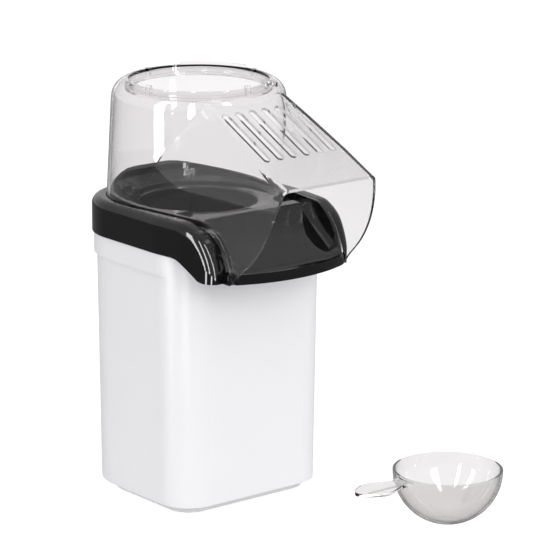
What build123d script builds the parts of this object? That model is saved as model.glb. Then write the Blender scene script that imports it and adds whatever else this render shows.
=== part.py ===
"""Hot-air popcorn maker: a white tapered housing, a black top deck with a pouring chute, a clear lift-off
hood and a clear measuring cup. Inside stand an aluminium popping chamber, a mica-framed heater, a fan on
a small motor and the mains parts. One STEP file is written for each physical piece.

Frame: millimetres, +Z up, the chute faces -Y. The origin is on the standing surface, under the axis of
the popping chamber, which is also the axis of the fan and of the hood's top opening.
"""

from build123d import *

import os
from math import atan2, cos, degrees, hypot, pi, radians, sin

# ------------------------------------------------------------------ driving dimensions
GAP = 0.3  # clearance between pieces that part or move
WALL = 2.5  # moulded opaque walls
CLEAR_WALL = 2.0  # moulded clear walls
RUN_FIT = 0.04  # radial clearance of running fits

# housing: plan at the bottom edge, growing towards the top by the same draft on every side
SHELL_Z0, BAND_Z, SHELL_TOP = 7.0, 169.5, 184.2
HALF_W, FRONT_Y, REAR_Y = 63.4, -63.5, 57.8
FRONT_R, REAR_R = 23.0, 42.5
DRAFT = 2.1
BAND_STEP = 1.4
SPIGOT_TOP = 191.5
PLINTH_INSET, PLINTH_Z0, TRAY_TOP = 7.6, 1.2, 9.5

# deck
DECK_HALF_W, DECK_REAR_Y, DECK_REAR_R, POST_Y = 68.0, 62.4, 45.0, -92.0
SKIRT_Z, RIM_Z, RIM_R = 184.5, 209.0, 6.0
LIP_Z0, LIP_Z1, LIP_FRONT_Y = 171.5, 178.5, -110.8
RIDGE_Z, CHUTE_R = 207.0, 6.0  # crest between the dish and the chute; rounding along the chute's sides
MOUTH_R, MOUTH_Z, MOUTH_ROUND, NECK_Z0 = 40.3, 205.3, 1.8, 183.6

# hood
DRUM_R, SHOULDER_Z, SHOULDER_R, HOOD_TOP = 60.0, 277.5, 12.5, 290.0
COLLAR_R, LEDGE_R, LEDGE_Z = 48.4, 45.0, 285.0
ROOF_Z, ROOF_Y, ROOF_SLOPE = 242.5, -138.0, 0.4853
PANEL_BREAK_Z = 205.0  # the side panels are upright below this height and lean in above it
SLOT_COUNT, SLOT_PITCH, SLOT_W, SLOT_Y0, SLOT_Y1 = 6, 11.2, 5.2, -63.5, -111.5
GROOVE_OUT, GROOVE_IN = 0.6, 2.6  # groove faces measured inwards from the hood's outside

# popping chamber, heater and fan
CHAMBER_R, CHAMBER_T, CHAMBER_Z0, CHAMBER_Z1 = 42.5, 1.2, 87.0, 181.0
FLANGE_R, SEAL_T = 51.5, 1.4
SHIELD_R, SHIELD_T, SHIELD_Z1 = 53.0, 0.8, 178.0
SCROLL_R, SCROLL_Z0, SCROLL_Z1, LEG_R = 53.0, 38.0, 62.0, 44.0
FAN_R, FAN_Z0, FAN_Z1, BLADES = 44.0, 42.5, 54.5, 14
MOTOR_R, MOTOR_Z0, MOTOR_Z1, SHAFT_R = 13.9, 12.0, 36.6, 1.5
COIL_R, COIL_Z0, COIL_PITCH, COIL_TURNS, WIRE_R = 39.0, 66.0, 5.0, 3.0, 0.6

# switch in the right wall and mains inlet in the rear wall
SWITCH_Y, SWITCH_Z, SWITCH_X = -10.0, 24.0, 63.8
INLET_Z, INLET_Y = 22.0, 58.1

# measuring cup, standing beside the housing
CUP_X, CUP_Y, CUP_R, CUP_T, CUP_RIM_Z = 80.0, -172.0, 37.5, 1.8, 37.5

BASE_BOSSES = [(47.0, -47.0), (-47.0, -47.0), (41.0, 36.0), (-41.0, 36.0)]
DECK_BOSSES = [(50.5, -49.0), (-50.5, -49.0), (44.0, 42.0), (-44.0, 42.0)]


# ------------------------------------------------------------------ shared helpers
def cylinder(radius, z0, z1, x=0.0, y=0.0):
    """Upright cylinder between two heights."""
    return Pos(x, y, (z0 + z1) / 2) * Cylinder(radius, z1 - z0)


def ring(outer, inner, z0, z1, x=0.0, y=0.0):
    """Upright tube between two heights."""
    return cylinder(outer, z0, z1, x, y) - cylinder(inner, z0 - 1, z1 + 1, x, y)


def block(x0, x1, y0, y1, z0, z1):
    """Box given by its limits."""
    return Pos((x0 + x1) / 2, (y0 + y1) / 2, (z0 + z1) / 2) * Box(x1 - x0, y1 - y0, z1 - z0)


def polar(radius, angle):
    """Point on a circle about the Z axis."""
    return radius * cos(radians(angle)), radius * sin(radians(angle))


def plan(half_w, front, rear, front_r, rear_r):
    """Rounded plan outline: straight sides, one radius at the front corners and one at the rear."""
    outline = make_face(Polyline((-half_w, front), (half_w, front), (half_w, rear), (-half_w, rear),
                                 close=True))
    outline = fillet(outline.vertices().group_by(Axis.Y)[0], front_r)
    return fillet(outline.vertices().group_by(Axis.Y)[-1], rear_r)


def prism(face, z0, z1):
    """Plan outline raised between two heights."""
    return extrude(Pos(0, 0, z0) * face, z1 - z0)


def side_prism(edges, reach=90.0):
    """Side profile, drawn as (y, z), swept across the whole width."""
    return extrude(Plane.YZ * make_face(edges), reach, both=True)


def screw(radius, length, head_r, head_h):
    """Pan-head screw pointing up, with the underside of its head at the local origin."""
    shank = Pos(0, 0, length / 2) * Cylinder(radius, length)
    head = Pos(0, 0, -head_h / 2) * Cylinder(head_r, head_h)
    cross = Box(head_r * 1.1, 0.8, 1.2) + Box(0.8, head_r * 1.1, 1.2)
    return shank + head - Pos(0, 0, -head_h) * cross


# ------------------------------------------------------------------ housing
def shell_plan(z, inset, step=0.0):
    """Plan of the housing at a height; the step widens the sides and the rear only."""
    grow = DRAFT * (z - SHELL_Z0) / (BAND_Z - SHELL_Z0) - inset
    return plan(HALF_W + grow + step, FRONT_Y - grow, REAR_Y + grow + step, FRONT_R + grow, REAR_R + grow)


def shell_body(inset, z0, z1, step=0.0):
    """Drafted solid of the housing between two heights."""
    lower = Pos(0, 0, z0) * shell_plan(z0, inset, step)
    upper = Pos(0, 0, z1) * shell_plan(z1, inset, step)
    return loft([lower, upper], ruled=True)


def make_body_shell():
    """White outer wall with its proud top band, spigot, screw bosses and the two mains openings."""
    shell = shell_body(0, SHELL_Z0, BAND_Z) + shell_body(0, BAND_Z, SHELL_TOP, BAND_STEP)
    spigot = prism(plan(64.9, -65.0, 59.2, 24.0, 42.0), 176.0, SPIGOT_TOP)
    shell += spigot
    shell -= shell_body(WALL, SHELL_Z0, SPIGOT_TOP + 1)
    for x, y in BASE_BOSSES:
        reach = 16.0 if y < 0 else 26.0
        rib = Pos(x, y, 20) * Rot(0, 0, degrees(atan2(y, x))) * Pos(reach / 2, 0, 0) * Box(reach, 2, 20)
        boss = cylinder(4.5, TRAY_TOP, 30, x, y) + (rib & shell_body(1.0, SHELL_Z0, 40))
        shell += boss - cylinder(1.5, 0, 26, x, y)
    for x, y in DECK_BOSSES:
        tab = cylinder(5.0, 186.0, 189.0, x, y)
        arm = Pos(x, y, 187.5) * Rot(0, 0, degrees(atan2(y, x))) * Pos(12, 0, 0) * Box(24, 9, 3)
        shell += (tab + (arm & prism(plan(64.0, -64.0, 58.0, 23.0, 41.0), 180, 190)))
        shell -= cylinder(1.8, 180, 195, x, y)
    shell -= block(55, 75, SWITCH_Y - 6.5, SWITCH_Y + 6.5, SWITCH_Z - 9.6, SWITCH_Z + 9.6)
    shell -= Pos(0, INLET_Y, INLET_Z) * Rot(90, 0, 0) * Cylinder(6.2, 20)
    return shell


def make_base_plate():
    """Plinth and tray that close the housing below, with the air intake slots."""
    inset = PLINTH_INSET
    plinth = prism(plan(HALF_W - inset, FRONT_Y + inset, REAR_Y - inset, FRONT_R - inset + 1, 36.0),
                   PLINTH_Z0, TRAY_TOP)
    plinth = chamfer(plinth.faces().sort_by(Axis.Z)[0].edges(), 0.6)
    tray = prism(shell_plan(SHELL_Z0, WALL + GAP), SHELL_Z0 + 0.2, TRAY_TOP)
    base = plinth + tray
    base -= prism(plan(HALF_W - inset - 2.5, FRONT_Y + inset + 2.5, REAR_Y - inset - 2.5, 14.0, 33.5),
                  PLINTH_Z0 + 2.5, TRAY_TOP + 1)
    for row in range(-4, 5):
        half = 26.0 if abs(row) > 2 else 30.0
        for side in (-1, 1):
            slot = Pos(side * (half / 2 + 3), row * 6.0, 2) * SlotOverall(half, 2.6)
            base -= extrude(slot, 6, both=True)
    for x, y in BASE_BOSSES:
        base += cylinder(5.5, PLINTH_Z0, TRAY_TOP, x, y)
        base -= cylinder(3.4, 0, 5.2, x, y) + cylinder(1.8, 0, 12, x, y)
    for x, y in leg_points():
        base += cylinder(5.0, PLINTH_Z0, TRAY_TOP, x, y)
        base -= cylinder(3.4, 0, 5.2, x, y) + cylinder(1.8, 0, 12, x, y)
    for x, y in foot_points():
        base += cylinder(6.5, PLINTH_Z0, PLINTH_Z0 + 4, x, y)
        base -= cylinder(5.1, 0, PLINTH_Z0 + 1.5, x, y)
    return base


def foot_points():
    """Rubber feet, near the corners of the plinth."""
    return [(46.0, -30.0), (-46.0, -30.0), (46.0, 17.0), (-46.0, 17.0)]


def leg_points():
    """Legs of the fan housing."""
    return [polar(LEG_R, angle) for angle in (60, 120, 240, 300)]


def make_rubber_feet():
    """Four soft pads recessed into the plinth."""
    feet = []
    for x, y in foot_points():
        pad = cylinder(5.0, 0, PLINTH_Z0 + 1.5, x, y)
        feet.append(chamfer(pad.edges().group_by(Axis.Z)[0], 0.4))
    return Compound(children=feet)


# ------------------------------------------------------------------ hood outside, shared with the groove
def panel_x(y):
    """Half-width of the upright part of the hood's side panels."""
    return 60.5 + 0.126 * (y + 8.0)


def nose_section(y, crease_x, crease_z, inset):
    """Cross-section of the hood's nose: upright sides that lean in on an arc to a flat roof."""
    low = panel_x(y) - inset
    top_x, top_z = crease_x - inset, crease_z - 1.11 * inset
    run, rise = low - top_x, top_z - PANEL_BREAK_Z
    radius = (run * run + rise * rise) / (2 * run)
    half = atan2(rise, radius - run) / 2
    mid = (low - radius + radius * cos(half), PANEL_BREAK_Z + radius * sin(half))
    edges = [
        Line((-low, 150), (low, 150)),
        Line((low, 150), (low, PANEL_BREAK_Z)),
        ThreePointArc((low, PANEL_BREAK_Z), mid, (top_x, top_z)),
        Line((top_x, top_z), (-top_x, top_z)),
        ThreePointArc((-top_x, top_z), (-mid[0], mid[1]), (-low, PANEL_BREAK_Z)),
        Line((-low, PANEL_BREAK_Z), (-low, 150)),
    ]
    outline = make_face(edges)
    outline = fillet(outline.vertices().group_by(Axis.Y)[-1], max(5.0 - inset, 1.0))
    return Plane(origin=(0, y, 0), x_dir=(1, 0, 0), z_dir=(0, -1, 0)) * outline


def roof_z(y):
    """Height of the sloping roof."""
    return ROOF_Z + ROOF_SLOPE * (y - ROOF_Y)


def envelope(inset):
    """Solid bounded by the hood's outside moved inwards by the inset."""
    low = plan(62.1 - inset, inset - 60, 58 - inset, 57 - inset, 45 - inset)
    top = plan(DRUM_R - inset, inset - DRUM_R, DRUM_R - inset, 59.5 - inset, 59.5 - inset)
    drum = loft([Pos(0, 0, 150) * low, Pos(0, 0, SHOULDER_Z) * top], ruled=True)
    bend = SHOULDER_R - inset
    crown = DRUM_R - SHOULDER_R
    mid = (crown + bend * sin(pi / 4), SHOULDER_Z + bend * cos(pi / 4))
    profile = [
        Line((0, SHOULDER_Z), (crown + bend, SHOULDER_Z)),
        ThreePointArc((crown + bend, SHOULDER_Z), mid, (crown, SHOULDER_Z + bend)),
        Line((crown, SHOULDER_Z + bend), (0, SHOULDER_Z + bend)),
        Line((0, SHOULDER_Z + bend), (0, SHOULDER_Z)),
    ]
    shoulder = revolve(Plane.XZ * make_face(profile), Axis.Z)
    creases = [(-8.0, 57.0, 276.0), (-50.0, 32.6, roof_z(-50.0)), (-76.0, 35.6, roof_z(-76.0)),
               (-110.0, 38.4, roof_z(-110.0)), (-146.0, 39.6, roof_z(-146.0))]
    nose = loft([nose_section(y, x, z, inset) for y, x, z in creases], ruled=True)
    return drum + shoulder + nose


def side_region(lower, upper_z=330.0, front=-150.0, rear=80.0):
    """Everything above a lower edge line that runs from the rear to the front, as a wide prism."""
    first, last = lower[0] @ 0, lower[-1] @ 1
    edges = lower + [Line(last, (front, last.Y)), Line((front, last.Y), (front, upper_z)),
                     Line((front, upper_z), (rear, upper_z)), Line((rear, upper_z), first)]
    return side_prism(edges)


def groove_line(lift):
    """Bottom of the hood groove: level under the drum, then rounding down the front posts."""
    turn = Spline((-58, 205.5 + lift), (-72.6, 204.3 + lift), (-79.4 - lift, 201.4), (-85.6 - lift, 196.4),
                  (-92.2 - lift, 187.6), (-96 - lift, 178.6), (-98 - lift, 168.0), tangents=[(-1, 0), (-0.15, -1)])
    return [Line((80, 205.5 + lift), (-58, 205.5 + lift)), turn]


# ------------------------------------------------------------------ deck
def deck_plan(front, front_r):
    """Plan of the deck: straight sides that converge towards the front posts."""
    front_w = 65.4 + 0.2 * (front + 65.0)
    outline = make_face(Polyline((-68, -38), (-65.4, -65), (-front_w, front), (front_w, front), (65.4, -65),
                                 (68, -38), (DECK_HALF_W, DECK_REAR_Y), (-DECK_HALF_W, DECK_REAR_Y),
                                 close=True))
    outline = fillet(outline.vertices().group_by(Axis.Y)[-1], DECK_REAR_R)
    for bend in (-38, -65):
        outline = fillet([v for v in outline.vertices() if abs(v.Y - bend) < 0.1], 60.0)
    return fillet(outline.vertices().group_by(Axis.Y)[0], front_r) if front_r else outline


def skirt_line(front):
    """Lower edge of the deck, from the rear to a front limit."""
    drop = Spline((-50, SKIRT_Z), (-61, 183.4), (-68.5, 179.3), (-76, 174.4), (-86, LIP_Z0),
                  tangents=[(-1, 0), (-1, 0)])
    return [Line((80, SKIRT_Z), (-50, SKIRT_Z)), drop, Line((-86, LIP_Z0), (front, LIP_Z0))]


def outer_crest():
    """Side view of the rim outside the groove."""
    turn = Spline((-91.4, LIP_Z0), (-90.6, 178), (-88.5, 185.6), (-84.4, 193.6), (-76.5, 202.2), (-66, 207.1),
                  (-50, RIM_Z), tangents=[(0.05, 1), (1, 0)])
    return [turn, Line((-50, RIM_Z), (80, RIM_Z)), Line((80, RIM_Z), (80, SKIRT_Z))]


def inner_crest():
    """Side view of the ridge inside the groove, rising to a wall behind the dish."""
    turn = Spline((-99.6, LIP_Z0), (-98.6, 177), (-94.4, 188), (-85, 200.6), (-75.5, 207.2), (-62, 209.8),
                  tangents=[(0.1, 1), (1, 0)])
    wall = Spline((-20, 209.8), (0, 210.5), (14, 211.4), (27, 212.5), (40, 214.6), (48, 216.8), (56, 220.2),
                  tangents=[(1, 0), (1, 0.45)])
    return [turn, Line((-62, 209.8), (-20, 209.8)), wall, Line((56, 220.2), (80, 220.2)),
            Line((80, 220.2), (80, SKIRT_Z))]


def chute_floor(drop):
    """Side view of the chute floor, or of its underside when dropped by the floor thickness."""
    return Spline((-57.5, RIDGE_Z - drop), (-61.5, 202.6 - drop), (-68, 196.4 - drop), (-80, 188.6 - drop),
                  (-92, 182.2 - drop), (-101, 177.4 - drop), tangents=[(-0.5, -1), (-1, -0.45)])


def chute_cut(lip):
    """Space of the chute above its floor, with rounded sides."""
    edges = [Line((-40, RIDGE_Z), (-57.5, RIDGE_Z)), chute_floor(0), Line((-101, 177.4), (-114, 176.6)),
             Line((-114, 176.6), (-114, 240)), Line((-114, 240), (-40, 240)), Line((-40, 240), (-40, RIDGE_Z))]
    space = side_prism(edges, 60.0)
    inner = space & envelope(5.2) & block(-60, 60, -99, 0, 160, 245)
    inner = fillet([edge for edge in inner.edges() if on_chute_side(edge)], CHUTE_R)
    return inner + (space & prism(offset(lip, -2.2), 170, 240))


def on_chute_side(edge):
    """True for the edges where the sloping chute floor meets its side walls."""
    start, mid, end = edge @ 0, edge @ 0.5, edge @ 1
    return abs(mid.X) > 30 and abs(start.Z - end.Z) > 5 and abs(start.Y - end.Y) > 5 and mid.Z < RIDGE_Z


def lip_plan():
    """Plan of the pouring lip."""
    edges = [Line((51.0, -98.0), (51.0, -90.0)), Line((51.0, -90.0), (-51.0, -90.0)),
             Line((-51.0, -90.0), (-51.0, -98.0)),
             ThreePointArc((-51.0, -98.0), (0, LIP_FRONT_Y), (51.0, -98.0))]
    return make_face(edges)


def dish_cut():
    """Shallow bowl round the mouth that follows the plan of the rear wall."""
    levels = [(205.3, 43.0, 43.0, 43.0, 42.4, 42.4), (206.2, 51.5, 50.0, 48.2, 48.0, 46.0),
              (209.0, 55.0, 53.5, 51.2, 51.0, 44.0), (214.0, 56.0, 57.0, 52.4, 52.0, 42.5),
              (226.0, 56.6, 58.0, 53.2, 52.0, 42.0)]
    sections = [Pos(0, 0, z) * plan(w, -f, r, fr, rr) for z, w, f, r, fr, rr in levels]
    return loft(sections, ruled=True)


def make_top_deck():
    """Black deck: skirt, hood groove, dish with its raised rear wall, mouth, chute and lip."""
    outer = prism(deck_plan(-96, 0), 150, 230) & side_prism(skirt_line(-91.4) + outer_crest())
    outer = fillet([edge for edge in outer.edges() if on_rim(edge)], RIM_R)
    outer &= prism(deck_plan(POST_Y, 9.0), 150, 230)
    groove = (envelope(-GROOVE_OUT) - envelope(GROOVE_IN)) & side_region(groove_line(0), 240)
    inner = envelope(GROOVE_IN) & side_prism(skirt_line(-99.6) + inner_crest())
    lip = lip_plan()
    deck = outer + prism(lip, LIP_Z0, LIP_Z1) - groove + inner
    deck -= dish_cut()
    deck -= chute_cut(lip)
    deck -= deck_cavity()
    deck += ring(MOUTH_R + 2.2, MOUTH_R, NECK_Z0, MOUTH_Z - 0.2)
    for x, y in DECK_BOSSES:
        deck += cylinder(4.0, 189.0, 203.5, x, y) - cylinder(1.4, 180, 201, x, y)
    for x, y in chamber_screw_points():
        deck += cylinder(3.2, NECK_Z0, 204, x, y) - cylinder(1.2, 180, 200, x, y)
    return deck - mouth_cut()


def mouth_cut():
    """Round mouth with a rounded edge at the bottom of the dish."""
    wide, low = MOUTH_R + MOUTH_ROUND, MOUTH_Z - MOUTH_ROUND
    mid = (wide - MOUTH_ROUND * sin(pi / 4), low + MOUTH_ROUND * cos(pi / 4))
    profile = [Line((0, 170), (MOUTH_R, 170)), Line((MOUTH_R, 170), (MOUTH_R, low)),
               ThreePointArc((MOUTH_R, low), mid, (wide, MOUTH_Z)), Line((wide, MOUTH_Z), (wide, 230)),
               Line((wide, 230), (0, 230)), Line((0, 230), (0, 170))]
    return revolve(Plane.XZ * make_face(profile), Axis.Z)


def on_rim(edge):
    """True for the edges between the rim and the outer side of the deck."""
    start, mid, end = edge @ 0, edge @ 0.5, edge @ 1
    upright = hypot(start.X - end.X, start.Y - end.Y) < 1
    return mid.Z > SKIRT_Z + 0.5 and not upright and (abs(mid.X) > 20 or mid.Y > 0)


def deck_cavity():
    """Hollow below the deck, split by the wall that closes against the front of the housing."""
    inside = offset(deck_plan(POST_Y, 9.0), -WALL)
    over_shell = prism(inside, 150, 202.4) & block(-80, 80, -66.2, 80, 150, 230)
    over_shell &= side_prism([Line((80, 150), (80, 202.4)), Line((80, 202.4), (-56, 202.4)),
                              Line((-56, 202.4), (-66.3, 195.0)), Line((-66.3, 195.0), (-66.3, 150)),
                              Line((-66.3, 150), (80, 150))])
    floor = chute_floor(2.6)
    low = floor @ 1
    under_chute = side_prism([floor, Line(low, (low.X, 150)), Line((low.X, 150), (-57.5, 150)),
                              Line((-57.5, 150), floor @ 0)])
    wide = prism(inside, 150, 230) & block(-80, 80, -87, -68.6, 150, 230)
    narrow = block(-44, 44, -101, -80, 150, 230)
    return over_shell + (under_chute & (wide + narrow))


def chamber_screw_points():
    """Screws that hold the chamber flange to the deck."""
    return [polar(47.2, angle) for angle in (0, 90, 180, 270)]


# ------------------------------------------------------------------ hood and cup
def hood_edge():
    """Lower edge of the hood and its curved front edge, from the rear to the roof."""
    front = Spline((-98.6, 171.6), (-114.4, 188), (-126.8, 204), (-136.0, 226), (-140.0, 243.5),
                   tangents=[(-0.6, 1), (-0.12, 1)])
    turn = Spline((-60, 206.1), (-73.2, 204.9), (-80.2, 201.9), (-86.4, 196.7), (-92.9, 187.8), (-96.7, 178.8),
                  (-98.6, 171.6), tangents=[(-1, 0), (-0.2, -1)])
    return [groove_line(0.6)[0], Line((-58, 206.1), (-60, 206.1)), turn, front]


def make_hood():
    """Clear lift-off hood: drum, sloping nose, six steam slots and the collar of the top opening."""
    hood = (envelope(0) - envelope(CLEAR_WALL)) & side_region(hood_edge())
    hood -= cylinder(COLLAR_R, 270, 300)
    hood += ring(COLLAR_R + 2, COLLAR_R, LEDGE_Z - 2, HOOD_TOP) + ring(COLLAR_R + 1, LEDGE_R, LEDGE_Z - 2, LEDGE_Z)
    wall = Pos(0, 0, HOOD_TOP - 0.5) * extrude(arc_band(COLLAR_R, COLLAR_R + 2, 10.7, 67.3), 2.4)
    hood += wall
    for angle in (-1, 100, 187, 276):
        x, y = polar(47.2, angle)
        hood += cylinder(2.0, LEDGE_Z - 1, HOOD_TOP + 1.2, x, y)
    x, y = polar(50.5, -54.5)
    hood += ring(5.2, 3.6, HOOD_TOP - 3.5, HOOD_TOP + 0.8, x, y)
    angle = atan2(ROOF_SLOPE, 1.0)
    along = (0, cos(angle), sin(angle))
    middle = (SLOT_Y0 + SLOT_Y1) / 2
    length = (SLOT_Y0 - SLOT_Y1) / cos(angle)
    for index in range(SLOT_COUNT):
        x = (index - (SLOT_COUNT - 1) / 2) * SLOT_PITCH
        plane = Plane(origin=(x, middle, roof_z(middle)), x_dir=along, z_dir=(0, -sin(angle), cos(angle)))
        hood -= extrude(plane * SlotOverall(length, SLOT_W), 5, both=True)
    return hood


def arc_band(inner, outer, start, end):
    """Flat sector of a ring, drawn at z = 0."""
    middle = (start + end) / 2
    edges = [
        Line(polar(inner, start), polar(outer, start)),
        ThreePointArc(polar(outer, start), polar(outer, middle), polar(outer, end)),
        Line(polar(outer, end), polar(inner, end)),
        ThreePointArc(polar(inner, end), polar(inner, middle), polar(inner, start)),
    ]
    return make_face(edges)


def make_measuring_cup():
    """Clear half-round cup with a small flat foot and a leaf-shaped tab handle."""
    centre = CUP_RIM_Z - 0.5
    ball = Pos(0, 0, centre) * (Sphere(CUP_R) - Sphere(CUP_R - CUP_T))
    bowl = ball & block(-50, 50, -50, 50, 0, centre)
    bowl += ring(CUP_R, CUP_R - CUP_T, centre - 0.1, CUP_RIM_Z)
    bowl += cylinder(7.5, 0, 1.6)
    rim_x = CUP_R - 1.2
    leaf = Spline((-rim_x, 9), (-50, 7.5), (-62, 12), (-74, 8.5), (-81, 0), (-74, -8.5), (-62, -12), (-50, -7.5),
                  (-rim_x, -9))
    tab = make_face([leaf, Line((-rim_x, -9), (-rim_x, 9))])
    tab = extrude(Pos(0, 0, CUP_RIM_Z - 3.0) * tab, 2.2)
    rib = Pos(-54, 0, CUP_RIM_Z - 3.6) * Box(34, 1.6, 1.6)
    cup = bowl + ((tab + rib) - Pos(0, 0, centre) * Sphere(CUP_R - 0.6))
    return Pos(CUP_X, CUP_Y, 0) * cup


# ------------------------------------------------------------------ popping chamber and air path
def make_popping_chamber():
    """Drawn aluminium cup with a flange, a domed floor and slanted louvres low in its wall."""
    r, t = CHAMBER_R, CHAMBER_T
    profile = [
        Line((0, CHAMBER_Z0 + 4), (20, CHAMBER_Z0 + 1.5)),
        ThreePointArc((20, CHAMBER_Z0 + 1.5), (r - 2.3, CHAMBER_Z0 + 2.3), (r, CHAMBER_Z0 + 8)),
        Line((r, CHAMBER_Z0 + 8), (r, CHAMBER_Z1 - t)),
        Line((r, CHAMBER_Z1 - t), (FLANGE_R, CHAMBER_Z1 - t)),
        Line((FLANGE_R, CHAMBER_Z1 - t), (FLANGE_R, CHAMBER_Z1)),
        Line((FLANGE_R, CHAMBER_Z1), (r - t, CHAMBER_Z1)),
        Line((r - t, CHAMBER_Z1), (r - t, CHAMBER_Z0 + 8)),
        ThreePointArc((r - t, CHAMBER_Z0 + 8), (r - 3.3, CHAMBER_Z0 + 3.4), (20, CHAMBER_Z0 + 1.5 + t)),
        Line((20, CHAMBER_Z0 + 1.5 + t), (0, CHAMBER_Z0 + 4 + t)),
        Line((0, CHAMBER_Z0 + 4 + t), (0, CHAMBER_Z0 + 4)),
    ]
    cup = revolve(Plane.XZ * make_face(profile), Axis.Z)
    for index in range(18):
        x, y = polar(r, index * 20 + 10)
        cup -= Pos(x, y, CHAMBER_Z0 + 17) * Rot(0, 0, index * 20 + 10) * Rot(20, 0, 0) * Box(6, 2.4, 13)
    for x, y in chamber_screw_points():
        cup -= cylinder(1.8, CHAMBER_Z1 - 5, CHAMBER_Z1 + 5, x, y)
    return cup


def make_chamber_seal():
    """Heat-resistant ring between the chamber flange and the deck."""
    seal = ring(FLANGE_R, CHAMBER_R - 0.5, CHAMBER_Z1, CHAMBER_Z1 + SEAL_T)
    for x, y in chamber_screw_points():
        seal -= cylinder(1.8, 170, 190, x, y)
    return seal


def make_chamber_screws():
    """Four screws through the chamber flange into the deck."""
    base = CHAMBER_Z1 - CHAMBER_T
    return Compound(children=[Pos(x, y, base) * screw(1.2, 15, 2.6, 1.6) for x, y in chamber_screw_points()])


def make_heat_shield():
    """Steel sleeve that guides the hot air up round the chamber."""
    shield = ring(SHIELD_R, SHIELD_R - SHIELD_T, SCROLL_Z1, SHIELD_Z1)
    return shield - Pos(0, -SHIELD_R, 120) * Rot(90, 0, 0) * Cylinder(2.0, 8)


def coil_height(angle, turn):
    """Height of the heater wire at an angle in degrees and a whole number of turns."""
    return COIL_Z0 + COIL_PITCH * (angle / 360 + turn)


def make_heater_frame():
    """Two crossed mica plates, notched for the wire, standing on the fan housing."""
    frame = block(-47, 47, -0.6, 0.6, SCROLL_Z1, 83.0) + block(-0.6, 0.6, -47, 47, SCROLL_Z1, 83.0)
    frame += ring(51.8, 46.5, SCROLL_Z1, SCROLL_Z1 + 1.2)
    for angle in (0, 90, 180, 270):
        for turn in range(int(COIL_TURNS) + 1):
            height = coil_height(angle, turn)
            if height > COIL_Z0 + COIL_PITCH * COIL_TURNS + 0.1:
                continue
            x, y = polar(COIL_R, angle)
            frame -= cylinder(2.0, height - 1.3, height + 1.3, x, y)
    return frame


def make_heater_coil():
    """Resistance wire wound round the mica plates."""
    path = Pos(0, 0, COIL_Z0) * Helix(COIL_PITCH, COIL_PITCH * COIL_TURNS, COIL_R)
    start = Plane(origin=path @ 0, z_dir=path % 0)
    return sweep(start * Circle(WIRE_R), path, is_frenet=True)


def make_thermostat():
    """Round bimetal switch clamped to the outside of the heat shield."""
    turn = Rot(0, 0, 315)
    body = Pos(SHIELD_R + 3.6, 0, 104) * Rot(0, 90, 0) * Cylinder(7.8, 6.0)
    clamp = block(SHIELD_R + 0.3, SHIELD_R + 1.3, -13, 13, 99, 109)
    tags = block(SHIELD_R + 5.0, SHIELD_R + 12, -5.5, -3.5, 103.6, 104.4)
    tags += block(SHIELD_R + 5.0, SHIELD_R + 12, 3.5, 5.5, 103.6, 104.4)
    return turn * (body + clamp + tags)


def make_thermal_fuse():
    """Cut-out capsule in its sleeve, on a small plate against the heat shield."""
    turn = Rot(0, 0, 225)
    capsule = Pos(SHIELD_R + 4.2, 0, 104) * Cylinder(2.6, 22)
    plate = block(SHIELD_R + 0.3, SHIELD_R + 2.2, -6, 6, 94, 114)
    pins = Pos(SHIELD_R + 4.2, 0, 104) * Cylinder(0.6, 36)
    return turn * (capsule + plate + pins)


def make_fan_housing():
    """Round air box under the heater, on four legs that stand on the base plate."""
    floor = cylinder(SCROLL_R, SCROLL_Z0, SCROLL_Z0 + 2)
    housing = floor + ring(SCROLL_R, SCROLL_R - 2, SCROLL_Z0, SCROLL_Z1)
    for index in range(6):
        opening = extrude(Pos(0, 0, SCROLL_Z0 - 1) * arc_band(17, 29, index * 60 + 10, index * 60 + 50), 5)
        housing -= opening
    housing -= cylinder(12.6, SCROLL_Z0 - 1, SCROLL_Z0 + 3)
    for x, y in leg_points():
        housing += cylinder(4.2, TRAY_TOP, SCROLL_Z0, x, y)
        housing -= cylinder(1.5, 0, SCROLL_Z0 - 8, x, y)
    for x, y in bracket_points():
        housing -= cylinder(1.6, SCROLL_Z0 - 1, SCROLL_Z0 + 3, x, y)
    return housing


def bracket_points():
    """Screws that hold the motor bracket under the floor of the fan housing."""
    return [polar(35.0, angle) for angle in (0, 180)]


def make_motor_bracket():
    """Pressed steel strap between the motor and the fan housing."""
    z0, z1 = MOTOR_Z1, SCROLL_Z0
    strap = cylinder(15.5, z0, z1) + extrude(Pos(0, 0, z0) * SlotOverall(82, 11), z1 - z0)
    strap -= cylinder(5.0, z0 - 1, z1 + 1)
    for x, y in bracket_points() + motor_screw_points():
        strap -= cylinder(1.6, z0 - 1, z1 + 1, x, y)
    return strap


def motor_screw_points():
    """Screws that hold the motor to its bracket."""
    return [polar(9.0, angle) for angle in (90, 270)]


def make_bracket_screws():
    """Two screws from below through the bracket, each with a nut above the floor."""
    parts = []
    for x, y in bracket_points():
        nut = Pos(x, y, SCROLL_Z0 + 2) * extrude(RegularPolygon(2.9, 6), 2.2) - cylinder(1.5, 30, 50, x, y)
        parts.append(Pos(x, y, MOTOR_Z1) * screw(1.5, 5.4, 2.8, 1.8) + nut)
    return Compound(children=parts)


def make_motor_screws():
    """Two short screws through the bracket into the motor."""
    return Compound(children=[Pos(x, y, SCROLL_Z0) * Rot(180, 0, 0) * screw(1.5, 4.4, 2.6, 1.2)
                              for x, y in motor_screw_points()])


def make_motor_can():
    """Drawn steel motor case, open below."""
    can = cylinder(MOTOR_R, MOTOR_Z0, MOTOR_Z1) - cylinder(MOTOR_R - 1, MOTOR_Z0 - 1, MOTOR_Z1 - 1.2)
    can -= cylinder(3.0, MOTOR_Z1 - 3, MOTOR_Z1 + 1)
    for x, y in motor_screw_points():
        can -= cylinder(1.5, MOTOR_Z1 - 3, MOTOR_Z1 + 1, x, y)
    return can


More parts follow.
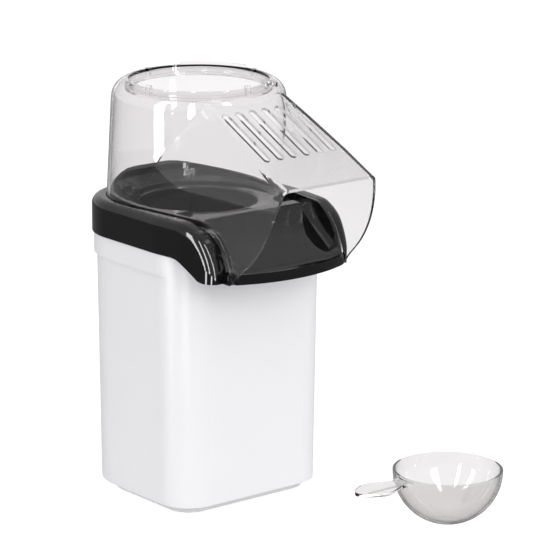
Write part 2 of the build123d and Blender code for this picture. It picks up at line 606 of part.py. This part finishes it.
def make_motor_end_cap():
    """Moulded end cap with the lower bearing seat and two brush boxes."""
    cap = cylinder(MOTOR_R, MOTOR_Z0 - 1.6, MOTOR_Z0) + cylinder(MOTOR_R - 1, MOTOR_Z0, MOTOR_Z0 + 1.8)
    for side in (-1, 1):
        cap += block(side * 7 - 2, side * 7 + 2, -1.8, 1.8, MOTOR_Z0 + 1, MOTOR_Z0 + 5.5)
    return cap - cylinder(3.0, MOTOR_Z0 - 3, MOTOR_Z0 + 3)


def make_motor_magnets():
    """Two curved magnets against the inside of the motor case."""
    magnets = [extrude(Pos(0, 0, MOTOR_Z0 + 6.5) * arc_band(10.2, MOTOR_R - 1, a, a + 130), 15) for a in (25, 205)]
    return Compound(children=magnets)


def make_motor_bushes():
    """Two sintered bronze bearings."""
    upper = ring(3.0, SHAFT_R + RUN_FIT, MOTOR_Z1 - 2.4, MOTOR_Z1)
    lower = ring(3.0, SHAFT_R + RUN_FIT, MOTOR_Z0 - 1.6, MOTOR_Z0 + 1.0)
    return Compound(children=[upper, lower])


def make_motor_armature():
    """Shaft with the wound core and the commutator."""
    shaft = chamfer(cylinder(SHAFT_R, MOTOR_Z0 - 1.2, FAN_Z1 + 1.5).edges(), 0.3)
    core = cylinder(9.6, MOTOR_Z0 + 7, MOTOR_Z0 + 21)
    for index in range(3):
        x, y = polar(9.6, index * 120)
        core -= Pos(x, y, MOTOR_Z0 + 14) * Rot(0, 0, index * 120) * Box(9, 2.4, 16)
    return shaft + core + cylinder(3.2, MOTOR_Z0 + 2.2, MOTOR_Z0 + 7)


def make_fan_impeller():
    """Radial fan: hub, cover disc above and straight blades below."""
    hub = ring(5.0, SHAFT_R, FAN_Z0, FAN_Z1 + 1)
    fan = hub + ring(FAN_R, SHAFT_R, FAN_Z1 - 1.6, FAN_Z1)
    for index in range(BLADES):
        angle = index * 360 / BLADES
        fan += Rot(0, 0, angle) * Pos(29.5, 0, 0) * Rot(0, 0, 14) * block(-13.5, 13.5, -0.6, 0.6, FAN_Z0, FAN_Z1)
    return fan & cylinder(FAN_R, FAN_Z0 - 1, FAN_Z1 + 2)


# ------------------------------------------------------------------ mains parts
def make_rectifier_board():
    """Small circuit board on two posts that feeds the motor."""
    board = block(-50, -22, -16, 4, 20.0, 21.6)
    for x, y in ((-46, -6), (-26, -6)):
        board += cylinder(2.2, TRAY_TOP - 5.8, 20.0, x, y)
    return board


def make_rectifier_diodes():
    """Four diodes lying on the board."""
    diodes = []
    for index in range(4):
        y = -13.5 + index * 5.0
        body = Pos(-36, y, 23.2) * Rot(0, 90, 0) * Cylinder(1.5, 6)
        diodes.append(body + Pos(-36, y, 23.2) * Rot(0, 90, 0) * Cylinder(0.45, 14))
    return Compound(children=diodes)


def make_switch_body():
    """Housing of the rocker switch, pushed into the right wall from outside."""
    bezel = block(SWITCH_X, SWITCH_X + 1.8, SWITCH_Y - 7.5, SWITCH_Y + 7.5, SWITCH_Z - 10.6, SWITCH_Z + 10.6)
    body = block(SWITCH_X - 15, SWITCH_X, SWITCH_Y - 6.3, SWITCH_Y + 6.3, SWITCH_Z - 9.3, SWITCH_Z + 9.3)
    body = chamfer(bezel.faces().sort_by(Axis.X)[-1].edges(), 0.7) + body
    body -= block(SWITCH_X - 7, SWITCH_X + 3, SWITCH_Y - 5.0, SWITCH_Y + 5.0, SWITCH_Z - 8.4, SWITCH_Z + 8.4)
    body -= Pos(SWITCH_X - 1.2, SWITCH_Y, SWITCH_Z) * Rot(90, 0, 0) * Cylinder(1.25 + RUN_FIT, 11.6)
    for height in (-5, 0, 5):
        body += block(SWITCH_X - 21, SWITCH_X - 15, SWITCH_Y - 2.4, SWITCH_Y + 2.4,
                      SWITCH_Z + height - 0.4, SWITCH_Z + height + 0.4)
    return body


def make_switch_rocker():
    """Rocker with two shallow flats, tipping on side pins."""
    pts = [(-4.2, -3.0), (-1.0, -7.6), (2.6, -7.4), (1.4, 0.0), (2.6, 7.4), (-1.0, 7.6), (-4.2, 3.0)]
    outline = make_face(Polyline(*pts, close=True))
    rocker = extrude(Plane.XZ * outline, 4.65, both=True)
    rocker += Rot(90, 0, 0) * Cylinder(1.25, 11.0)
    return Pos(SWITCH_X - 1.2, SWITCH_Y, SWITCH_Z) * rocker


def make_cord_bush():
    """Moulded inlet bush in the rear wall."""
    bush = Cylinder(6.0, 9.0) + Pos(0, 0, 5.2) * Cylinder(8.5, 2.0) + Pos(0, 0, -3.6) * Cylinder(7.6, 1.8)
    bush -= Cylinder(3.4, 30)
    return Pos(0, INLET_Y - 4.0, INLET_Z) * Rot(-90, 0, 0) * bush


def wire(points, radius=0.9):
    """Insulated lead along a smooth line."""
    path = Spline(*points)
    return sweep(Plane(origin=path @ 0, z_dir=path % 0) * Circle(radius), path)


def make_internal_leads():
    """Leads from the inlet to the switch, the board, the thermostat and the fuse."""
    leads = [
        wire([(2.0, 48.5, 22), (12, 47.5, 17), (26, 45.5, 14), (34, 34, 14), (44, 14, 16), (44.5, -4, 24)]),
        wire([(-2.0, 48.5, 22), (-12, 47.5, 17), (-26, 45.5, 14), (-34, 34, 14), (-44, 14, 16), (-47, 6, 18.5)]),
        wire([(45, -14, 24), (48, -26, 28), (54, -38, 40), (49, -45, 70), (46.5, -40.5, 98)]),
        wire([(-44, -17.5, 19), (-48, -30, 26), (-50, -42, 40), (-47, -45, 60), (-40.4, -40.4, 83)]),
    ]
    return Compound(children=leads)


def make_base_screws():
    """Eight screws from below: four into the housing and four into the legs of the fan housing."""
    places = BASE_BOSSES + leg_points()
    return Compound(children=[Pos(x, y, 5.2) * screw(1.45, 17, 2.9, 1.8) for x, y in places])


def make_deck_screws():
    """Four screws through the tabs of the housing into the deck."""
    return Compound(children=[Pos(x, y, 186.0) * screw(1.4, 14, 2.9, 1.8) for x, y in DECK_BOSSES])


PARTS = {
    "housing_shell": make_body_shell,
    "base_plate": make_base_plate,
    "rubber_feet": make_rubber_feet,
    "top_deck": make_top_deck,
    "hood": make_hood,
    "measuring_cup": make_measuring_cup,
    "popping_chamber": make_popping_chamber,
    "chamber_seal": make_chamber_seal,
    "chamber_screws": make_chamber_screws,
    "heat_shield": make_heat_shield,
    "heater_frame": make_heater_frame,
    "heater_coil": make_heater_coil,
    "thermostat": make_thermostat,
    "thermal_fuse": make_thermal_fuse,
    "fan_housing": make_fan_housing,
    "fan_impeller": make_fan_impeller,
    "motor_can": make_motor_can,
    "motor_end_cap": make_motor_end_cap,
    "motor_magnets": make_motor_magnets,
    "motor_bushes": make_motor_bushes,
    "motor_armature": make_motor_armature,
    "motor_bracket": make_motor_bracket,
    "motor_screws": make_motor_screws,
    "bracket_screws": make_bracket_screws,
    "rectifier_board": make_rectifier_board,
    "rectifier_diodes": make_rectifier_diodes,
    "switch_body": make_switch_body,
    "switch_rocker": make_switch_rocker,
    "cord_inlet_bush": make_cord_bush,
    "internal_leads": make_internal_leads,
    "base_screws": make_base_screws,
    "deck_screws": make_deck_screws,
}

os.makedirs("parts", exist_ok=True)
for name, make in PARTS.items():
    export_step(make(), f"parts/{name}.step")
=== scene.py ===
"""Looks of the hot-air popcorn maker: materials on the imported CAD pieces, studio light and the camera."""

import math

import bpy
from mathutils import Matrix, Vector

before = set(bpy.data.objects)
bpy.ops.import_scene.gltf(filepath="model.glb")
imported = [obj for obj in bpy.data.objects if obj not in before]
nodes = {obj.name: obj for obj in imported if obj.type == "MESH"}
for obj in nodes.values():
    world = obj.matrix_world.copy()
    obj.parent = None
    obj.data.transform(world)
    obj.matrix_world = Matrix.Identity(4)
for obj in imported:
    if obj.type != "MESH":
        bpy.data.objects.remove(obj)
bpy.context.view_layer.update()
scene = bpy.context.scene
scene.view_settings.view_transform = "Standard"


# ------------------------------------------------------------------ camera
AZIMUTH, ELEVATION, DISTANCE, ROLL = math.radians(-39.2), math.radians(14.7), 2.236, math.radians(0.3)
AIM_RIGHT, AIM_UP, LENS = 0.0562, 0.1474, 206.98


def make_camera():
    """Long-lens camera at the photograph's angle."""
    right = Vector((math.cos(AZIMUTH), math.sin(AZIMUTH), 0))
    back = Vector((math.sin(AZIMUTH) * math.cos(ELEVATION), -math.cos(AZIMUTH) * math.cos(ELEVATION),
                   math.sin(ELEVATION)))
    up = back.cross(right)
    tilt_right = math.cos(ROLL) * right + math.sin(ROLL) * up
    tilt_up = -math.sin(ROLL) * right + math.cos(ROLL) * up
    data = bpy.data.cameras.new("camera")
    data.sensor_width, data.lens = 36.0, LENS
    data.clip_start, data.clip_end = 0.05, 60.0
    cam = bpy.data.objects.new("camera", data)
    scene.collection.objects.link(cam)
    turn = Matrix((tilt_right, tilt_up, back)).transposed().to_4x4()
    cam.matrix_world = Matrix.Translation(right * AIM_RIGHT + Vector((0, 0, AIM_UP)) + back * DISTANCE) @ turn
    scene.camera = cam


# ------------------------------------------------------------------ material helpers
class Nodes:
    """Small wrapper for building a node tree."""

    def __init__(self, name):
        self.mat = bpy.data.materials.new(name)
        self.mat.use_nodes = True
        self.tree = self.mat.node_tree
        self.tree.nodes.clear()
        self.out = self.add("ShaderNodeOutputMaterial")

    def add(self, kind, **values):
        """A node with its properties or sockets set by name."""
        node = self.tree.nodes.new(kind)
        for key, value in values.items():
            label = key.replace("_", " ")
            if label in node.inputs:
                node.inputs[label].default_value = value
            else:
                setattr(node, key, value)
        return node

    def link(self, a, b):
        self.tree.links.new(a, b)

    def noise(self, scale, detail=3.0, roughness=0.55, stretch=(1, 1, 1)):
        """Noise over the object's own coordinates, as a factor."""
        coord = self.add("ShaderNodeTexCoord")
        mapping = self.add("ShaderNodeMapping")
        mapping.inputs["Scale"].default_value = stretch
        tex = self.add("ShaderNodeTexNoise", Scale=scale, Detail=detail, Roughness=roughness)
        self.link(coord.outputs["Object"], mapping.inputs["Vector"])
        self.link(mapping.outputs[0], tex.inputs["Vector"])
        return tex.outputs["Fac"]

    def ramp(self, value, low, high, start=0.3, end=0.7):
        """Maps a factor between two numbers."""
        node = self.add("ShaderNodeMapRange")
        for key, number in (("From Min", start), ("From Max", end), ("To Min", low), ("To Max", high)):
            node.inputs[key].default_value = number
        self.link(value, node.inputs["Value"])
        return node.outputs["Result"]

    def mix(self, factor, a, b):
        """Colour between a and b."""
        node = self.add("ShaderNodeMix", data_type="RGBA")
        node.inputs[6].default_value = (*a, 1)
        node.inputs[7].default_value = (*b, 1)
        self.link(factor, node.inputs[0])
        return node.outputs[2]

    def bump(self, height, strength, distance, normal=None):
        node = self.add("ShaderNodeBump", Strength=strength, Distance=distance)
        self.link(height, node.inputs["Height"])
        if normal is not None:
            self.link(normal, node.inputs["Normal"])
        return node.outputs["Normal"]


def moulded(name, low, high, rough, grain=900.0, grain_depth=0.00002, wave=0.0, wave_scale=14.0,
            specular=0.5):
    """Moulded plastic: faint cloudiness, uneven gloss, fine grain and slow waviness of the surface."""
    n = Nodes(name)
    shader = n.add("ShaderNodeBsdfPrincipled")
    shader.inputs["Specular IOR Level"].default_value = specular
    n.link(n.mix(n.ramp(n.noise(9.0, 4.0), 0, 1), low, high), shader.inputs["Base Color"])
    n.link(n.ramp(n.noise(38.0, 5.0), *rough), shader.inputs["Roughness"])
    normal = n.bump(n.noise(grain, 2.0), 0.35, grain_depth)
    if wave:
        normal = n.bump(n.noise(wave_scale, 1.0), 0.6, wave, normal)
    n.link(normal, shader.inputs["Normal"])
    n.link(shader.outputs[0], n.out.inputs[0])
    return n.mat


def metal(name, low, high, rough, stretch=(1, 1, 1), scale=260.0, depth=0.00003):
    """Metal with brushing or drawing marks and stains."""
    n = Nodes(name)
    shader = n.add("ShaderNodeBsdfPrincipled", Metallic=1.0)
    n.link(n.mix(n.ramp(n.noise(30.0, 5.0), 0, 1), low, high), shader.inputs["Base Color"])
    marks = n.noise(scale, 4.0, 0.6, stretch)
    n.link(n.ramp(marks, *rough), shader.inputs["Roughness"])
    n.link(n.bump(marks, 0.4, depth), shader.inputs["Normal"])
    n.link(shader.outputs[0], n.out.inputs[0])
    return n.mat


CLEAR_INDEX, COAT_INDEX, COAT_ROUGHNESS = 1.12, 1.5, 0.02
LAMP_SHARE = (0.985, 0.978, 0.98)  # of a lamp's light that the clear plastic lets through in a shadow


def clear_plastic(name, tint, rough):
    """Clear moulded plastic that lets lamps through, with flow marks and fine scuffs."""
    n = Nodes(name)
    shader = n.add("ShaderNodeBsdfPrincipled", IOR=CLEAR_INDEX, Coat_Weight=1.0, Coat_IOR=COAT_INDEX,
                   Coat_Roughness=COAT_ROUGHNESS)
    shader.inputs["Base Color"].default_value = (*tint, 1)
    shader.inputs["Transmission Weight"].default_value = 1.0
    scuffs = n.noise(55.0, 6.0, 0.7, (1, 1, 0.35))
    n.link(n.ramp(scuffs, *rough, 0.45, 0.75), shader.inputs["Roughness"])
    n.link(n.bump(n.noise(22.0, 1.5), 0.5, 0.00006), shader.inputs["Normal"])
    through = n.add("ShaderNodeBsdfTransparent")
    through.inputs[0].default_value = (*LAMP_SHARE, 1)
    path = n.add("ShaderNodeLightPath")
    mix = n.add("ShaderNodeMixShader")
    n.link(path.outputs["Is Shadow Ray"], mix.inputs[0])
    n.link(shader.outputs[0], mix.inputs[1])
    n.link(through.outputs[0], mix.inputs[2])
    n.link(mix.outputs[0], n.out.inputs[0])
    return n.mat


MATERIALS = {
    "white_abs": moulded("white_abs", (0.738, 0.728, 0.750), (0.750, 0.741, 0.762), (0.36, 0.40),
                         wave=0.00002, specular=0.2),
    "black_abs": moulded("black_abs", (0.003, 0.003, 0.0035), (0.005, 0.005, 0.0055), (0.03, 0.07),
                         grain_depth=0.000004, wave=0.00003, wave_scale=20.0, specular=0.45),
    "clear": clear_plastic("clear", (0.86, 0.845, 0.85), (0.01, 0.03)),
    "clear_cup": clear_plastic("clear_cup", (0.78, 0.765, 0.765), (0.01, 0.03)),
    "base": moulded("base", (0.62, 0.615, 0.625), (0.66, 0.655, 0.665), (0.42, 0.55)),
    "rubber": moulded("rubber", (0.02, 0.02, 0.02), (0.035, 0.034, 0.033), (0.65, 0.85)),
    "duct": moulded("duct", (0.03, 0.03, 0.032), (0.05, 0.05, 0.052), (0.45, 0.6)),
    "black_matte": moulded("black_matte", (0.015, 0.015, 0.016), (0.025, 0.025, 0.026), (0.35, 0.5)),
    "aluminium": metal("aluminium", (0.60, 0.61, 0.63), (0.72, 0.73, 0.74), (0.22, 0.42), (1, 1, 0.08)),
    "steel": metal("steel", (0.45, 0.46, 0.48), (0.62, 0.63, 0.64), (0.25, 0.45), (1, 1, 0.3)),
    "nichrome": metal("nichrome", (0.20, 0.17, 0.15), (0.34, 0.29, 0.24), (0.4, 0.6)),
    "bronze": metal("bronze", (0.45, 0.30, 0.14), (0.58, 0.42, 0.22), (0.4, 0.6)),
    "mica": moulded("mica", (0.45, 0.38, 0.24), (0.62, 0.55, 0.40), (0.35, 0.6), grain=300.0),
    "silicone": moulded("silicone", (0.55, 0.53, 0.50), (0.65, 0.63, 0.60), (0.5, 0.7)),
    "ferrite": moulded("ferrite", (0.03, 0.03, 0.032), (0.06, 0.058, 0.058), (0.55, 0.75), grain=500.0),
    "winding": metal("winding", (0.42, 0.18, 0.07), (0.58, 0.30, 0.14), (0.3, 0.5), (1, 1, 6)),
    "board": moulded("board", (0.32, 0.20, 0.07), (0.42, 0.28, 0.11), (0.4, 0.6)),
    "lead": moulded("lead", (0.45, 0.44, 0.42), (0.55, 0.54, 0.52), (0.5, 0.65)),
}
LOOKS = {
    "housing_shell": "white_abs", "base_plate": "base", "rubber_feet": "rubber", "top_deck": "black_abs",
    "hood": "clear", "measuring_cup": "clear_cup", "popping_chamber": "aluminium", "chamber_seal": "silicone",
    "chamber_screws": "steel", "heat_shield": "steel", "heater_frame": "mica", "heater_coil": "nichrome",
    "thermostat": "black_matte", "thermal_fuse": "silicone", "fan_housing": "duct",
    "fan_impeller": "aluminium", "motor_can": "steel", "motor_end_cap": "black_matte",
    "motor_magnets": "ferrite", "motor_bushes": "bronze", "motor_armature": "winding",
    "motor_bracket": "steel", "motor_screws": "steel", "bracket_screws": "steel", "rectifier_board": "board",
    "rectifier_diodes": "black_matte", "switch_body": "black_matte", "switch_rocker": "black_matte",
    "cord_inlet_bush": "black_matte", "internal_leads": "lead", "base_screws": "steel", "deck_screws": "steel",
}


def paint(obj, mat):
    """Gives every slot of a piece one material."""
    if not obj.data.materials:
        obj.data.materials.append(mat)
    for slot in obj.material_slots:
        slot.material = mat


for name, look in LOOKS.items():
    paint(nodes[name], MATERIALS[look])


# ------------------------------------------------------------------ floor and light
FLOOR_GLOW, FLOOR_GLOW_MIRRORED = 0.93, 0.05
FLOOR_WHITE, FLOOR_WHITE_MIRRORED = 0.15, 0.10
WORLD_GLOW, WORLD_GLOW_MIRRORED = 1.0, 0.75
DEPTH_WEIGHTS = (("Transmission Depth", -0.13), ("Diffuse Depth", 0.2))
STRIP_DISTANCE, STRIP_TOP = 0.5, 0.8
FLOOR_SIZE, FLOOR_DROP = 40.0, 0.0002


def direct_or_mirrored(tree, direct, mirrored):
    """A stage strength that is lower where the stage shows as a reflection."""
    path = tree.nodes.new("ShaderNodeLightPath")
    seen = path.outputs["Glossy Depth"]
    for depth, weight in DEPTH_WEIGHTS:
        step = tree.nodes.new("ShaderNodeMath")
        step.operation = "MULTIPLY_ADD"
        step.inputs[1].default_value = weight
        tree.links.new(path.outputs[depth], step.inputs[0])
        tree.links.new(seen, step.inputs[2])
        seen = step.outputs[0]
    node = tree.nodes.new("ShaderNodeMapRange")
    node.inputs["To Min"].default_value = direct
    node.inputs["To Max"].default_value = mirrored
    tree.links.new(seen, node.inputs["Value"])
    return node.outputs["Result"]


def make_floor():
    """Pale studio floor, part of the stage."""
    bpy.ops.mesh.primitive_plane_add(size=FLOOR_SIZE, location=(0, 0, -FLOOR_DROP))
    floor = bpy.context.object
    floor.name = "floor"
    n = Nodes("floor")
    shader = n.add("ShaderNodeBsdfPrincipled", Roughness=0.6)
    n.link(direct_or_mirrored(n.tree, FLOOR_WHITE, FLOOR_WHITE_MIRRORED), shader.inputs["Base Color"])
    shader.inputs["Emission Color"].default_value = (1, 1, 1, 1)
    n.link(direct_or_mirrored(n.tree, FLOOR_GLOW, FLOOR_GLOW_MIRRORED), shader.inputs["Emission Strength"])
    n.link(shader.outputs[0], n.out.inputs[0])
    floor.data.materials.append(n.mat)


def area_light(name, place, aim, width, height, power):
    """Rectangular light, returned for its settings."""
    data = bpy.data.lights.new(name, "AREA")
    data.shape = "RECTANGLE"
    data.size, data.size_y, data.energy = width, height, power
    light = bpy.data.objects.new(name, data)
    light.location = place
    light.rotation_euler = (Vector(place) - Vector(aim)).to_track_quat("Z", "Y").to_euler()
    scene.collection.objects.link(light)
    return light


def soft_box(name, place, width, height, power):
    """Large light for the shading only."""
    area_light(name, place, (0, 0, 0.15), width, height, power).visible_glossy = False


def strip(name, turn, low, width, glow):
    """Tall strip that only shows as a highlight, placed by its angle to the right of the camera."""
    angle = AZIMUTH - math.pi / 2 + math.radians(turn)
    middle, height = (low + STRIP_TOP) / 2, STRIP_TOP - low
    place = (STRIP_DISTANCE * math.cos(angle), STRIP_DISTANCE * math.sin(angle), middle)
    light = area_light(name, place, (0, 0, middle), width, height, glow * math.pi * width * height)
    light.visible_camera = light.visible_diffuse = light.visible_transmission = False


def make_light():
    """White surroundings with soft boxes."""
    world = bpy.data.worlds.new("studio")
    scene.world = world
    world.use_nodes = True
    back = world.node_tree.nodes["Background"]
    back.inputs[0].default_value = (1, 1, 1, 1)
    world.node_tree.links.new(direct_or_mirrored(world.node_tree, WORLD_GLOW, WORLD_GLOW_MIRRORED),
                              back.inputs[1])
    soft_box("key", (-0.3, -2.2, 1.2), 0.7, 1.0, 15)
    soft_box("left", (-1.9, 0.3, 0.9), 0.5, 1.2, 1.0)
    soft_box("fill", (1.8, -1.4, 0.9), 0.9, 1.2, 1.5)
    soft_box("top", (0.2, 0.3, 2.0), 1.0, 1.0, 3)
    strip("front_strip", -8, 0.001, 0.07, 20)
    strip("left_strip", -49, 0.001, 0.12, 16)
    strip("right_strip", 42, 0.12, 0.09, 16)


make_camera()
make_floor()
make_light()
